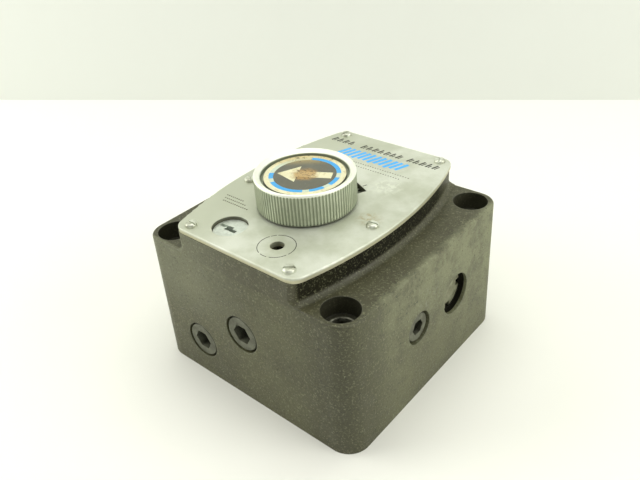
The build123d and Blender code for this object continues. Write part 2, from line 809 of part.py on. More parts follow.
def compensator_plug():
    # Round plug with spanner notches in its face, and a slotted nose that stops the spool
    plug = rod("x", compensator, recess_radius - static_fit, end_plug_back, end_plug_face)
    plug = chamfer(plug.edges().sort_by(Axis.X)[-1], end_plug_edge)
    plug += rod("x", compensator, end_plug_nose_radius, nose_end, end_plug_back)
    y, z = compensator
    half = end_plug_slot / 2
    plug -= block((nose_end - 1, end_plug_back - 1), (y - half, y + half),
                  (z - recess_radius, z + recess_radius))
    plug -= tube("x", compensator, recess_radius + 1, recess_radius - end_seal_section,
                 *end_seal_span())
    notch = Pos(end_plug_face, y + recess_radius, z) * Box(
        2 * spanner_notch_depth, 2 * spanner_notch_depth, spanner_notch_width)
    for index in range(spanner_notches):
        turn = Rot(360 / spanner_notches * index, 0, 0)
        plug -= Pos(0, y, z) * turn * Pos(0, -y, -z) * notch
    return plug


def end_seal_span():
    low = end_plug_back + end_seal_margin
    return low, low + seal_length


def check_seat():
    seat = tube("y", check, check_bore_radius - static_fit, check_seat_hole, seat_low, seat_high)
    inner = seat.edges().filter_by(GeomType.CIRCLE).group_by(SortBy.RADIUS)[0]
    return chamfer(inner.sort_by(Axis.Y)[-1], check_seat_edge)


def check_poppet():
    # Hollow guided poppet: a cone that closes the seat, and side holes behind it
    start = seat_high + face_gap
    guide = check_guide_radius - running_fit
    cone_plane = facing("y", check, start)
    base = cone_plane * Circle(poppet_nose_radius)
    base_end = facing("y", check, start + poppet_cone_length) * Circle(guide)
    poppet = loft([base.faces()[0], base_end.faces()[0]])
    poppet += rod("y", check, guide, start + poppet_cone_length, start + poppet_length)
    poppet += rod("y", check, poppet_nose_radius, start - poppet_nose_length, start)
    poppet -= rod("y", check, guide - poppet_wall, start + poppet_cone_length + 1,
                  start + poppet_length + 1)
    for angle in (0, 90):
        hole = Rot(0, angle, 0) * rod("x", (0, 0), poppet_hole_radius, -2 * guide, 2 * guide)
        poppet -= Pos(check[0], start + poppet_cone_length + poppet_hole_rise, check[1]) * hole
    return poppet


def check_spring():
    start = seat_high + face_gap + poppet_cone_length + 1
    return coil("y", check, check_spring_radius, check_wire_radius, start,
                seat_high + check_guide_length, check_spring_turns)


def port_seals():
    return [seal("z", place, port_radius + port_seal_width - port_seal_section,
                 port_radius + port_seal_width,
                 0, port_seal_depth) for place in (inlet, dial)]


def lock_housing():
    return tube("z", lock, lock_housing_radius, lock_shank_radius + running_fit,
                pocket_floor - lock_housing_length, pocket_floor)


def lock_barrel():
    # Keyed barrel: visible face, eccentric cam disc under it, shank with a clip groove
    barrel = rod("z", lock, lock_face_radius, cam_high, lock_face_top)
    barrel = fillet(barrel.edges().sort_by(Axis.Z)[-1], lock_face_edge)
    angle = radians(reach_angle - cam_angle)
    centre = (lock[0] + cam_offset * cos(angle), lock[1] + cam_offset * sin(angle))
    barrel += rod("z", centre, cam_radius, cam_low, cam_high)
    barrel += rod("z", lock, lock_shank_radius, shank_low, cam_low)
    barrel -= tube("z", lock, lock_shank_radius + 1, lock_shank_radius - lock_clip_groove,
                   clip_low - static_fit, clip_low + lock_clip_thickness + static_fit)
    return barrel - key_slot()


def keyway(length, depth):
    # Two offset halves, so that the keyway reads as an S
    half = Box(length / 2, key_slot_width, 2 * depth)
    middle = Box(key_slot_width, key_slot_width + key_slot_step, 2 * depth)
    slot = Pos(length / 4, -key_slot_step / 2) * half
    slot += Pos(-length / 4, key_slot_step / 2) * half
    return slot + middle


def key_slot():
    slot = keyway(key_slot_length, key_slot_depth)
    slot += Pos(key_mouth_offset, 0) * keyway(key_mouth_length, key_mouth_depth)
    return Pos(*lock, lock_face_top) * Rot(0, 0, key_slot_angle) * slot


def lock_bolt():
    # Thin slide with a round window for the cam and one tooth for the scale ring
    width = 4 * lock_bolt_radius
    front_cut = Pos(lock_bolt_front - width / 2, 0) * Rectangle(width, width)
    bolt = Circle(lock_bolt_radius) & front_cut
    bolt += Pos(lock_tooth_reach / 2, 0) * Rectangle(lock_tooth_reach, lock_tooth_width)
    window = Circle(cam_radius + cam_offset + lock_window_gap)
    bolt -= window & Rectangle(2 * (cam_radius + cam_play), 4 * cam_radius)
    slide = extrude(bolt, amount=lock_bolt_thickness)
    start = (lock[0] - bolt_half_throw * reach[0], lock[1] - bolt_half_throw * reach[1])
    return Pos(*start, cam_low) * Rot(0, 0, reach_angle) * slide


def lock_clip():
    clip = tube("z", lock, lock_clip_radius, lock_shank_radius - lock_clip_groove + static_fit,
                clip_low, clip_low + lock_clip_thickness)
    width = clip_opening * (lock_shank_radius - lock_clip_groove)
    x, y = lock
    return clip - block((x, x + 2 * lock_clip_radius), (y - width / 2, y + width / 2),
                        (clip_low - 1, clip_low + 2 * lock_clip_thickness))


os.makedirs("parts", exist_ok=True)
save("valve_body", valve_body())
save("cover_plate", cover_plate())
save("cover_screws", *cover_screws())
save("dial_knob", dial_knob())
save("dial_face", dial_face())
save("knob_washer", knob_washer())
save("knob_screw", knob_screw())
save("dial_shaft", dial_shaft())
save("scale_ring", scale_ring())
save("ring_stop_pin", ring_stop_pin())
save("fixed_stop_pin", fixed_stop_pin())
save("shaft_gland", shaft_gland())
save("gland_seal", seal("z", dial, gland_radius - seal_section, gland_radius + static_fit,
                        *gland_seal_span()))
save("shaft_seal", seal("z", dial, journal_radius + running_fit, journal_radius + seal_section,
                        *shaft_seal_span()))
save("thrust_washer", thrust_washer())
save("throttle_sleeve", throttle_sleeve())
save("sleeve_seals", *sleeve_seals())
save("guide_pin", guide_pin())
save("throttle_spool", throttle_spool())
save("throttle_spring", throttle_spring())
save("compensator_spool", compensator_spool())
save("compensator_spring", compensator_spring())
save("compensator_plug", compensator_plug())
save("compensator_plug_seal", seal("x", compensator, recess_radius - end_seal_section, recess_radius,
                                   *end_seal_span()))
save("check_seat", check_seat())
save("check_poppet", check_poppet())
save("check_spring", check_spring())
for plug_name, values in plugs.items():
    save(plug_name, screw_plug(*values))
    save(plug_name + "_seal", plug_seal(*values[:5]))
save("port_seals", *port_seals())
save("lock_housing", lock_housing())
save("lock_barrel", lock_barrel())
save("lock_bolt", lock_bolt())
save("lock_clip", lock_clip())
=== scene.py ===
import json
import math
import bpy
import numpy as np
from mathutils import Matrix, Vector


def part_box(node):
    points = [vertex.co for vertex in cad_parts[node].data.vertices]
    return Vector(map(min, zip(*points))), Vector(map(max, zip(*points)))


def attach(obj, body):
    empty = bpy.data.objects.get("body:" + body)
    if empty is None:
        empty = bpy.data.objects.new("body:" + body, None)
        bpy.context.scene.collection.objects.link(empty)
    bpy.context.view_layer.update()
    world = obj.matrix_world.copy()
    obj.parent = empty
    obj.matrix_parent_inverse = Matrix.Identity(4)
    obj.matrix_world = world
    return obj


# Looks of a four-bolt hydraulic flow control valve. Metres, Z up, dial on top.
# New pieces are thin printed marks; every other piece is a CAD node with a finish of its own.

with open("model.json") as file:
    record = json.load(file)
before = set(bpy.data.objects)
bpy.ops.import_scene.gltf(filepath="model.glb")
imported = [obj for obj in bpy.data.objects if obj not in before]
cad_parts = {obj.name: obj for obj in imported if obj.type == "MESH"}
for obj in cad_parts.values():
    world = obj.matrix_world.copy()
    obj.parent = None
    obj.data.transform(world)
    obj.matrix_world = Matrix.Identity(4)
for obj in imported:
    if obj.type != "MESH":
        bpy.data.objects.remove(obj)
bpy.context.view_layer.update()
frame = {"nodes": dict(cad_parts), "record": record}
nodes = frame["nodes"]
mounts = {mount["name"]: mount for mount in frame["record"]["mounts"]}
mm = 0.001
print("frame loaded:", len(nodes), "nodes")


def middle(box):
    # centre of a box seen from above
    return np.array([(box[0].x + box[1].x) / 2, (box[0].y + box[1].y) / 2])


# Places that the finishes and the marks follow, read from the frame
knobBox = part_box("dial_knob")
dialAxis = middle(knobBox)
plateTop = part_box("cover_plate")[1].z
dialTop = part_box("dial_face")[1].z
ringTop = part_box("scale_ring")[1].z
lockAxis = middle(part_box("lock_barrel"))
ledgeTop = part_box("cover_plate")[0].z - 10.9 * mm     # the four bolt ledges of the casting
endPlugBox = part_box("compensator_plug")
endPlugAxis = ((endPlugBox[0].y + endPlugBox[1].y) / 2, (endPlugBox[0].z + endPlugBox[1].z) / 2)
bolts = mounts["mounting_bolts"]["dims"]
boltReach = bolts["spacing_x_mm"] * mm / 2
boltRadius = bolts["hole_r_mm"] * mm
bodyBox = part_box("valve_body")
accessHole = dialAxis + np.array([13.6 * mm, -35.2 * mm])      # small hole beside the lock


def rgb(red, green, blue):
    # colour as a paint program shows it, turned to the linear values that shaders use
    parts = [c / 255 for c in (red, green, blue)]
    return tuple(c / 12.92 if c < 0.04045 else ((c + 0.055) / 1.055) ** 2.4 for c in parts) + (1,)


def join(tree, value, socket):
    if isinstance(value, bpy.types.NodeSocket):
        tree.links.new(value, socket)
    else:
        socket.default_value = value


def put(tree, kind, inputs=None, **settings):
    node = tree.nodes.new("ShaderNode" + kind)
    for key, value in settings.items():
        setattr(node, key, value)
    for key, value in (inputs or {}).items():
        join(tree, value, node.inputs[key])
    return node


def maths(tree, operation, *values, clamp=False):
    node = put(tree, "Math", dict(enumerate(values)), operation=operation, use_clamp=clamp)
    return node.outputs[0]


def axisValues(tree, vector):
    return put(tree, "SeparateXYZ", {0: vector}).outputs


def vectorMaths(tree, operation, *values):
    return put(tree, "VectorMath", dict(enumerate(values)), operation=operation)


def step(tree, value, low, high):
    # smooth rise from 0 at low to 1 at high, or a fall if high is the smaller
    node = put(tree, "MapRange", {"Value": value, "From Min": low, "From Max": high},
               interpolation_type="SMOOTHSTEP")
    return node.outputs["Result"]


def mix(tree, share, first, second):
    node = put(tree, "Mix", {0: share, 6: first, 7: second}, data_type="RGBA")
    return node.outputs[2]


def place(tree, centre=(0, 0, 0), stretch=(1, 1, 1), turn=0):
    # the piece's own coordinates about a centre, stretched and turned about Z
    coords = put(tree, "TexCoord").outputs["Object"]
    moved = vectorMaths(tree, "SUBTRACT", coords, tuple(centre)).outputs[0]
    settings = {"Vector": moved, "Rotation": (0, 0, turn), "Scale": stretch}
    return put(tree, "Mapping", settings).outputs[0]


def product(tree, first, *others):
    # numbers and masks multiplied together
    for other in others:
        first = maths(tree, "MULTIPLY", first, other)
    return first


def blend(tree, under, over, *masks):
    # one colour laid on another where the masks, multiplied together, are high
    return mix(tree, product(tree, *masks), under, over)


def noise(tree, where, scale, detail=3, rough=0.55, warp=0):
    node = put(tree, "TexNoise", {"Vector": where, "Scale": scale, "Detail": detail,
                                  "Roughness": rough, "Distortion": warp})
    return node.outputs[0]


def patches(tree, where, size, detail, rough, low, high, warp=0):
    # soft patches: noise that counts from low and is full at high
    return step(tree, noise(tree, where, size, detail, rough, warp), low, high)


def axisDistance(tree, centre):
    # distance from a vertical axis
    flat = vectorMaths(tree, "MULTIPLY", place(tree, centre), (1, 1, 0)).outputs[0]
    return vectorMaths(tree, "LENGTH", flat).outputs["Value"]


def wornEdge(tree, radius, full=0.90, none=0.99):
    # 1 on sharp edges: where a rounded normal leaves the true one
    rounded = put(tree, "Bevel", {"Radius": radius}, samples=4).outputs[0]
    true = put(tree, "NewGeometry").outputs["Normal"]
    facing = vectorMaths(tree, "DOT_PRODUCT", rounded, true).outputs["Value"]
    return step(tree, facing, none, full)


def bump(tree, height, distance, strength=1.0, normal=None):
    inputs = {"Height": height, "Distance": distance, "Strength": strength}
    if normal is not None:
        inputs["Normal"] = normal
    return put(tree, "Bump", inputs).outputs[0]


def finish(name, **fixed):
    # a material with its shader; fixed values go on the shader's own sockets
    material = bpy.data.materials.new(name)
    material.use_nodes = True
    shader = material.node_tree.nodes["Principled BSDF"]
    for key, value in fixed.items():
        shader.inputs[shaderSockets[key]].default_value = value
    return material, material.node_tree, shader


shaderSockets = {"metal": "Metallic", "rough": "Roughness", "gloss": "Specular IOR Level"}


def dress(nodeNames, material):
    for name in nodeNames:
        slots = nodes[name].data.materials
        slots.clear()
        slots.append(material)


casting = {
    "paint": rgb(86, 86, 57), "dark": rgb(58, 57, 36), "dust": rgb(130, 133, 106),
    "bare": rgb(128, 130, 112), "hollow": rgb(26, 25, 20), "machined": rgb(112, 110, 98),
    "ledge": rgb(50, 46, 32), "lip": rgb(196, 196, 176), "sandColour": rgb(156, 158, 124),
    "blotches": {"size": 38, "detail": 5, "rough": 0.6, "low": 0.30, "high": 0.72},
    "sand": {"size": 1150, "detail": 2, "rough": 0.6, "low": 0.52, "high": 0.72},
    "pits": {"size": 900, "detail": 3, "rough": 0.7, "low": 0.42, "high": 0.30},
    "sparks": {"size": 800, "detail": 3, "rough": 0.7, "low": 0.68, "high": 0.74},
    "scratches": {"size": 330, "detail": 2, "rough": 0.5, "low": 0.60, "high": 0.66, "warp": 0.4},
    "scratchStretch": (1, 5, 1.6), "scratchReach": 4 * mm,
    "scuffPlace": (61.5 * mm, -4 * mm, 52 * mm), "scuffRadius": 17 * mm,
    "cloudSize": 120, "grainSize": 1150, "waveSize": 260, "waveShare": 2.2,
    "grainDepth": 0.10 * mm, "edgeRadius": 0.5 * mm, "wornRadius": 0.9 * mm,
    "counterbore": 8.5 * mm, "counterboreDepth": 9 * mm,
    "grooveRadius": 12.2 * mm, "grooveDepth": 16 * mm, "grooveRise": 2.8 * mm,
    "blackDulls": 0.42, "dullness": 0.36,
}


def counterboreMasks(tree, where, cloud):
    # the four counterbores, folded onto one corner: the hole, for painted shade, and the bright ring at its
    # floor
    c = casting
    folded = vectorMaths(tree, "ABSOLUTE", where).outputs[0]
    offset = vectorMaths(tree, "SUBTRACT", folded, (boltReach, boltReach, 0)).outputs[0]
    flat = vectorMaths(tree, "MULTIPLY", offset, (1, 1, 0)).outputs[0]
    fromBolt = vectorMaths(tree, "LENGTH", flat).outputs["Value"]
    hole = step(tree, fromBolt, c["counterbore"], c["counterbore"] - 0.2 * mm)
    height = axisValues(tree, where)[2]
    floor = ledgeTop - c["counterboreDepth"]
    lip = product(tree, step(tree, fromBolt, boltRadius - 0.3 * mm, boltRadius + 0.2 * mm),
                  step(tree, fromBolt, boltRadius + 1.2 * mm, boltRadius + 0.4 * mm),
                  step(tree, cloud, 0.25, 0.5), step(tree, height, floor - 2.9 * mm, floor - 0.4 * mm))
    return hole, lip


def plugGrooveMask(tree, where):
    # painted shade: the groove round the recessed plug in the right wall, which lies in shadow
    c = casting
    across = vectorMaths(tree, "SUBTRACT", where, (0, *endPlugAxis)).outputs[0]
    across = vectorMaths(tree, "MULTIPLY", across, (0, 1, 1)).outputs[0]
    fromPlug = vectorMaths(tree, "LENGTH", across).outputs["Value"]
    along = axisValues(tree, where)[0]
    face = endPlugBox[1].x
    return product(tree, step(tree, fromPlug, c["grooveRadius"], c["grooveRadius"] - 0.2 * mm),
                   step(tree, along, face + c["grooveRise"], face + c["grooveRise"] - 0.4 * mm),
                   step(tree, along, face - c["grooveDepth"] - 4 * mm, face - c["grooveDepth"]))


def castIron():
    # Sand-cast iron in dark oxide paint: grain, blotches, dust on the right wall, pale worn edges,
    # black painted shade in the counterbores and round the end plug, and a machined underside
    c = casting
    material, tree, shader = finish("castIron", metal=0.0)
    where = place(tree)
    x, y, z = axisValues(tree, where)
    farSide = axisValues(tree, vectorMaths(tree, "ABSOLUTE", where).outputs[0])[1]
    cloud = noise(tree, where, c["cloudSize"], 4, 0.65)
    blotches = maths(tree, "MULTIPLY", patches(tree, where, **c["blotches"]), 0.5)
    colour = mix(tree, maths(tree, "ADD", 0.35, blotches), c["dark"], c["paint"])
    colour = blend(tree, colour, c["dust"], step(tree, cloud, 0.50, 0.80), 0.22)
    # the ledges are dirtier than the walls, and the pedestal's long sides are nearly black, less so towards
    # the back
    colour = blend(tree, colour, c["ledge"], step(tree, z, ledgeTop - 1.2 * mm, ledgeTop), 0.40)
    front = -bodyBox[0].y
    backFade = product(tree, step(tree, y, 36 * mm, 54 * mm), 0.9)
    blackSides = product(tree, step(tree, z, ledgeTop + 1.2 * mm, ledgeTop + 3 * mm),
                   step(tree, farSide, front - 2.5 * mm, front - 5 * mm),
                   maths(tree, "SUBTRACT", 1.0, backFade))
    colour = blend(tree, colour, c["hollow"], blackSides, 0.93)
    # dust lies on the right wall, more towards its top and its back
    right = step(tree, x, bodyBox[1].x - 5.4 * mm, bodyBox[1].x - 1.4 * mm)
    high = step(tree, maths(tree, "ADD", z, product(tree, y, 0.5)), 5 * mm, 85 * mm)
    amount = maths(tree, "ADD", 0.22, product(tree, high, 0.66))
    dusty = product(tree, right, amount, step(tree, cloud, 0.25, 0.62))
    colour = blend(tree, colour, c["dust"], dusty)
    # painted light: the front wall lighter towards its upper left, in the dust colour; painted shade:
    # darker by the near corner
    left = product(tree, step(tree, y, 3.5 * mm - front, 2.5 * mm - front),
                   step(tree, x, 12 * mm, -36 * mm), step(tree, z, 30 * mm, 56 * mm))
    colour = blend(tree, colour, c["dust"], left, 0.42)
    corner = product(tree, step(tree, y, -30 * mm, -50 * mm), step(tree, x, 30 * mm, 52 * mm))
    colour = blend(tree, colour, c["dark"], corner, 0.75)
    # sand grain: light grains, dark pits and a few bright specks
    colour = blend(tree, colour, c["sandColour"], patches(tree, where, **c["sand"]), 0.34)
    colour = blend(tree, colour, c["hollow"], patches(tree, where, **c["pits"]), 0.75)
    colour = blend(tree, colour, c["sandColour"], patches(tree, where, **c["sparks"]), 0.6)
    # short pale scratches in one patch of the right wall
    fromScuff = vectorMaths(tree, "DISTANCE", where, c["scuffPlace"]).outputs["Value"]
    scratches = patches(tree, place(tree, stretch=c["scratchStretch"]), **c["scratches"])
    scuff = step(tree, fromScuff, c["scuffRadius"], c["scratchReach"])
    colour = blend(tree, colour, c["bare"], scuff, scratches, 0.75)
    edge = wornEdge(tree, c["wornRadius"])
    colour = blend(tree, colour, c["bare"], edge, step(tree, cloud, 0.30, 0.62), 0.45)
    hole, lip = counterboreMasks(tree, where, cloud)
    # painted shade: the counterbores darkened towards black
    colour = blend(tree, colour, c["hollow"], hole, 0.68)
    colour = mix(tree, lip, colour, c["lip"])
    # painted shade: the groove round the end plug nearly black
    groove = plugGrooveMask(tree, where)
    colour = blend(tree, colour, c["hollow"], groove, 0.95)
    underside = step(tree, z, 0.3 * mm, 0.1 * mm)
    colour = mix(tree, underside, colour, c["machined"])
    join(tree, colour, shader.inputs["Base Color"])
    rough = maths(tree, "ADD", c["dullness"], product(tree, cloud, 0.30))
    rough = maths(tree, "ADD", rough, product(tree, dusty, 0.3), clamp=True)
    join(tree, rough, shader.inputs["Roughness"])
    black = maths(tree, "MAXIMUM", blackSides, groove)
    join(tree, maths(tree, "SUBTRACT", 0.5, product(tree, black, c["blackDulls"])),
         shader.inputs["Specular IOR Level"])
    waves = product(tree, noise(tree, where, c["waveSize"], 3, 0.5), c["waveShare"])
    grain = maths(tree, "ADD", noise(tree, where, c["grainSize"], 4, 0.6), waves)
    rounded = put(tree, "Bevel", {"Radius": c["edgeRadius"]}, samples=4).outputs[0]
    join(tree, bump(tree, grain, c["grainDepth"], 0.8, rounded), shader.inputs["Normal"])
    return material


plateLook = {
    "metal": rgb(216, 219, 208), "shade": rgb(190, 194, 176), "stain": rgb(166, 146, 92),
    "smear": rgb(226, 230, 216), "edge": rgb(190, 184, 146), "holeWallShade": rgb(84, 84, 72),
    "accessWallShade": rgb(160, 164, 140),
    "stainPlace": (33 * mm, -7.5 * mm), "stainRadius": 7.5 * mm,
    "smearPlace": (22.5 * mm, 20.5 * mm), "smearRadius": 10.5 * mm,
    "ragged": {"size": 420, "detail": 4, "rough": 0.65, "warp": 0.6},
    "flecks": {"size": 2600, "detail": 2, "rough": 0.5, "low": 0.5, "high": 0.8},
    "wear": {"size": 210, "detail": 4, "rough": 0.6, "low": 0.45, "high": 0.62},
    "cloudSize": 55, "grainSize": 700, "grainStretch": (1, 14, 1), "grainDepth": 0.012 * mm,
    "wornRadius": 0.6 * mm, "dullness": 0.40,
}


def coverMetal():
    # Satin aluminium: fine long grain, a yellow-brown stain by the right screw, a wiped smear,
    # dull edges
    c = plateLook
    material, tree, shader = finish("coverMetal", metal=0.55, gloss=0.5)
    where = place(tree)
    x, _, z = axisValues(tree, where)
    cloud = noise(tree, where, c["cloudSize"], 4, 0.6)
    grain = noise(tree, place(tree, stretch=c["grainStretch"]), c["grainSize"], 3, 0.5)
    colour = mix(tree, step(tree, cloud, 0.30, 0.70), c["shade"], c["metal"])
    colour = blend(tree, colour, c["shade"], patches(tree, where, **c["flecks"]), 0.25)
    for spot, radius, tone, low, high, amount in (
            (c["stainPlace"], c["stainRadius"], c["stain"], 0.38, 0.72, 0.8),
            (c["smearPlace"], c["smearRadius"], c["smear"], 0.45, 0.60, 0.8)):
        near = step(tree, axisDistance(tree, (*spot, 0)), radius, radius / 4)
        ragged = patches(tree, where, low=low, high=high, **c["ragged"])
        colour = blend(tree, colour, tone, near, ragged, amount)
    # painted shade: the plate darker towards its left side
    colour = blend(tree, colour, c["shade"], step(tree, x, -5 * mm, -30 * mm), 0.9)
    # dirt and painted shade round the knob, and dirt along the plate's rim
    fromDial = axisDistance(tree, (*dialAxis, 0))
    knobDirtAndShade = step(tree, fromDial, 27.5 * mm, 23.5 * mm)
    colour = blend(tree, colour, c["shade"], knobDirtAndShade, step(tree, cloud, 0.25, 0.7), 0.35)
    rim = step(tree, z, plateTop - 0.4 * mm, plateTop - 1.4 * mm)
    colour = blend(tree, colour, c["edge"], rim, 0.65)
    # painted shade on the walls of the lock hole, the access hole and the window; the access hole wall,
    # seen lit, gets a lighter one
    deep = step(tree, z, plateTop - 0.1 * mm, plateTop - 0.4 * mm)
    for centre, radius, tone in ((lockAxis, 8.6 * mm, c["holeWallShade"]),
                                 (accessHole, 3.6 * mm, c["accessWallShade"]),
                                 (dialAxis, 29 * mm, c["holeWallShade"])):
        near = step(tree, axisDistance(tree, (*centre, 0)), radius, radius - 0.2 * mm)
        colour = blend(tree, colour, tone, near, deep, 0.85)
    worn = wornEdge(tree, c["wornRadius"])
    colour = blend(tree, colour, c["stain"], worn, patches(tree, where, **c["wear"]), 0.4)
    join(tree, colour, shader.inputs["Base Color"])
    rough = maths(tree, "ADD", c["dullness"], product(tree, cloud, 0.16))
    join(tree, rough, shader.inputs["Roughness"])
    join(tree, bump(tree, grain, c["grainDepth"], 0.6), shader.inputs["Normal"])
    return material


knobLook = {
    "crest": rgb(192, 199, 177), "groove": rgb(156, 163, 143), "rim": rgb(247, 249, 238),
    "base": rgb(70, 72, 58), "fluteDepth": 0.42 * mm,
    "rimStart": 1.6 * mm, "rimFull": 1.1 * mm,            # below the knob's top
    "footStart": 14.7 * mm, "footFull": 15.4 * mm,
    "wallStart": 3.5 * mm, "wallFull": 2.6 * mm,          # inside the knob's outer radius
    "cloudSize": 180, "turnedSize": 900, "turnedStretch": (1, 1, 9), "turnedDepth": 0.02 * mm,
    "dullness": 0.36,
}


def knobMetal():
    # Satin aluminium knob: dirt and painted shade between the flutes, a painted shadow line at the foot, a
    # bright rubbed rim with a painted highlight
    c = knobLook
    outer = (knobBox[1].x - knobBox[0].x) / 2
    top = knobBox[1].z
    material, tree, shader = finish("knobMetal", metal=0.65)
    where = place(tree)
    radius = axisDistance(tree, (*dialAxis, 0))
    height = axisValues(tree, where)[2]
    cloud = noise(tree, where, c["cloudSize"], 4, 0.6)
    # dirt and painted shade in the flutes: the grooves darker than the crests
    crest = step(tree, radius, outer - c["fluteDepth"], outer - 0.1 * c["fluteDepth"])
    colour = mix(tree, crest, c["groove"], c["crest"])
    # the top rim rubbed bright, partly a painted highlight
    rim = step(tree, height, top - c["rimStart"], top - c["rimFull"])
    colour = mix(tree, rim, colour, c["rim"])
    # painted shadow: a dark line at the foot, by the gap under the knob
    foot = step(tree, height, top - c["footStart"], top - c["footFull"])
    colour = blend(tree, colour, c["base"], foot, 0.8)
    wall = step(tree, radius, outer - c["wallStart"], outer - c["wallFull"])
    flank = product(tree, maths(tree, "SUBTRACT", 1, rim), wall)
    amount = maths(tree, "ADD", 0.10, product(tree, flank, 0.28))
    colour = blend(tree, colour, c["groove"], step(tree, cloud, 0.40, 0.68), amount)
    join(tree, colour, shader.inputs["Base Color"])
    rough = maths(tree, "ADD", c["dullness"], product(tree, cloud, 0.22))
    join(tree, rough, shader.inputs["Roughness"])
    turned = noise(tree, place(tree, stretch=c["turnedStretch"]), c["turnedSize"], 3, 0.5)
    join(tree, bump(tree, turned, c["turnedDepth"], 0.5), shader.inputs["Normal"])
    return material


rustLook = {
    "colour": rgb(172, 138, 80), "dark": rgb(64, 55, 38),
    "radius": 7.2 * mm, "ragged": 6 * mm, "raggedSize": 330,
    "streaks": {"size": 420, "detail": 4, "rough": 0.6, "low": 0.55, "high": 0.6, "warp": 0.8},
    "streakStretch": (1, 3, 1), "streakTurn": 0.9,
    "yellowSide": (-0.62, 0.78), "yellow": rgb(188, 168, 108), "yellowStart": 8 * mm, "yellowFull": 16 * mm,
    "flecks": {"size": 700, "detail": 3, "rough": 0.6, "low": 0.58, "high": 0.64, "warp": 0.5},
}


def rustOver(tree, where, colour):
    # rust that crept out from the dial's centre, and the far left side, which has yellowed
    c = rustLook
    radius = axisDistance(tree, (*dialAxis, 0))
    ragged = product(tree, noise(tree, where, c["raggedSize"], 4, 0.6), c["ragged"])
    reach = maths(tree, "ADD", radius, ragged)
    near = step(tree, reach, c["radius"] + 3 * mm, c["radius"] - 1 * mm)
    colour = blend(tree, colour, c["colour"], near, 0.85)
    streaked = place(tree, stretch=c["streakStretch"], turn=c["streakTurn"])
    colour = blend(tree, colour, c["dark"], near, patches(tree, streaked, **c["streaks"]))
    centred = place(tree, (*dialAxis, 0))
    lean = vectorMaths(tree, "DOT_PRODUCT", centred, (*c["yellowSide"], 0)).outputs["Value"]
    side = step(tree, lean, c["yellowStart"], c["yellowFull"])
    colour = blend(tree, colour, c["yellow"], side, 0.6)
    return blend(tree, colour, c["dark"], side, patches(tree, where, **c["flecks"]))


printLook = {"thinSize": 650, "thinStart": 0.72, "thinFull": 0.80, "thinShare": 0.55,
             "cloudSize": 160, "cloudShare": 0.3, "depth": 0.02 * mm}


def printed(name, ink, worn, wear=0.16, rough=0.42, rusty=True):
    # Ink on metal: thin places, cloudy wear and, on the dial, rust
    c = printLook
    material, tree, shader = finish(name, metal=0.0, gloss=0.45)
    where = place(tree)
    thin = patches(tree, where, c["thinSize"], 4, 0.65, c["thinStart"] - wear, c["thinFull"] - wear)
    colour = blend(tree, ink, worn, thin, c["thinShare"])
    cloud = noise(tree, where, c["cloudSize"], 4, 0.6)
    colour = blend(tree, colour, worn, step(tree, cloud, 0.45, 0.8), c["cloudShare"])
    if rusty:
        colour = rustOver(tree, where, colour)
    join(tree, colour, shader.inputs["Base Color"])
    join(tree, maths(tree, "ADD", rough, product(tree, cloud, 0.2)), shader.inputs["Roughness"])
    join(tree, bump(tree, cloud, c["depth"], 0.4), shader.inputs["Normal"])
    return material


machinedLook = {"cloudSize": 240, "edgeRadius": 0.4 * mm, "markDepth": 0.015 * mm,
                "shadeReach": 7 * mm, "shadeStart": 0.62, "shadeFull": 0.30}


def machined(name, light, dark, metal=0.85, rough=0.3, scale=900, stretch=(1, 1, 6), wear=0.5,
             shadedSockets=False):
    # Turned or ground metal: fine parallel tool marks, dull patches and rubbed edges
    c = machinedLook
    material, tree, shader = finish(name, metal=metal)
    where = place(tree)
    marks = noise(tree, place(tree, stretch=stretch), scale, 3, 0.5)
    cloud = noise(tree, where, c["cloudSize"], 4, 0.6)
    colour = mix(tree, step(tree, cloud, 0.34, 0.66), dark, light)
    colour = blend(tree, colour, light, wornEdge(tree, c["edgeRadius"]), wear)
    if shadedSockets:
        # painted shade in the sockets: darker where little light gets in
        openness = put(tree, "AmbientOcclusion", {"Distance": c["shadeReach"]}, samples=6).outputs["AO"]
        colour = blend(tree, colour, casting["hollow"], step(tree, openness, c["shadeStart"], c["shadeFull"]))
    join(tree, colour, shader.inputs["Base Color"])
    join(tree, maths(tree, "ADD", rough, product(tree, cloud, 0.25)), shader.inputs["Roughness"])
    join(tree, bump(tree, marks, c["markDepth"], 0.6), shader.inputs["Normal"])
    return material


rubberLook = {"plain": rgb(24, 24, 23), "bloom": rgb(52, 52, 49), "bloomSize": 500, "skinSize": 2500,
              "skinDepth": 0.02 * mm, "dullness": 0.45}


def sealRubber():
    # Moulded nitrile: nearly black, slightly bloomed, matt
    c = rubberLook
    material, tree, shader = finish("sealRubber", metal=0.0, gloss=0.4)
    where = place(tree)
    bloom = noise(tree, where, c["bloomSize"], 4, 0.6)
    colour = mix(tree, step(tree, bloom, 0.5, 0.8), c["plain"], c["bloom"])
    join(tree, colour, shader.inputs["Base Color"])
    rough = maths(tree, "ADD", c["dullness"], product(tree, bloom, 0.3))
    join(tree, rough, shader.inputs["Roughness"])
    skin = noise(tree, where, c["skinSize"], 2, 0.5)
    join(tree, bump(tree, skin, c["skinDepth"], 0.5), shader.inputs["Normal"])
    return material


